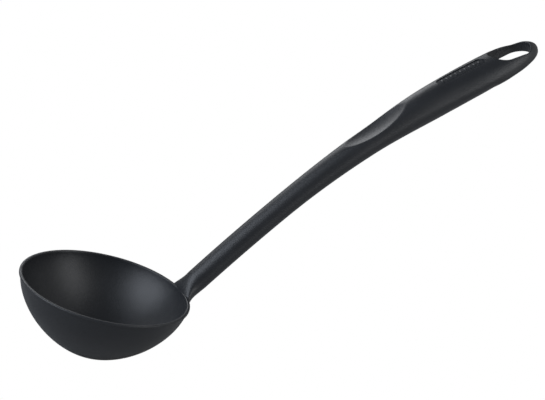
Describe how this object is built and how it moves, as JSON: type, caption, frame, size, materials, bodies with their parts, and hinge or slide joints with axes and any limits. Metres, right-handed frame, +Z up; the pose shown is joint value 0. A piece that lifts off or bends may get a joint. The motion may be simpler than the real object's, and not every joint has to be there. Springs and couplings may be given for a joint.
{
  "type": "soup ladle",
  "caption": "Black moulded soup ladle: round cup with a flat foot, steep hollow handle with a thumb hollow, a blank name window and a hanging slot.",
  "frame": {"origin": "centre of the cup's flat foot, on the surface that the foot rests on", "axes": "+Z up the cup's axis, +X from the cup towards the handle's tip, +Y across the handle; the XZ plane is the plane of symmetry"},
  "size_m": [0.274, 0.09, 0.2057],
  "materials": {
    "cup_nylon": "satin black moulded nylon",
    "handle_nylon": "satin black moulded nylon",
    "cover_nylon": "satin black moulded nylon",
    "plate_nylon": "smooth black moulded nylon"
  },
  "bodies": {
    "root": {"bowl": "cup_nylon", "handle_body": "handle_nylon", "handle_back_cover": "cover_nylon", "name_plate": "plate_nylon"}
  },
  "joints": []
}
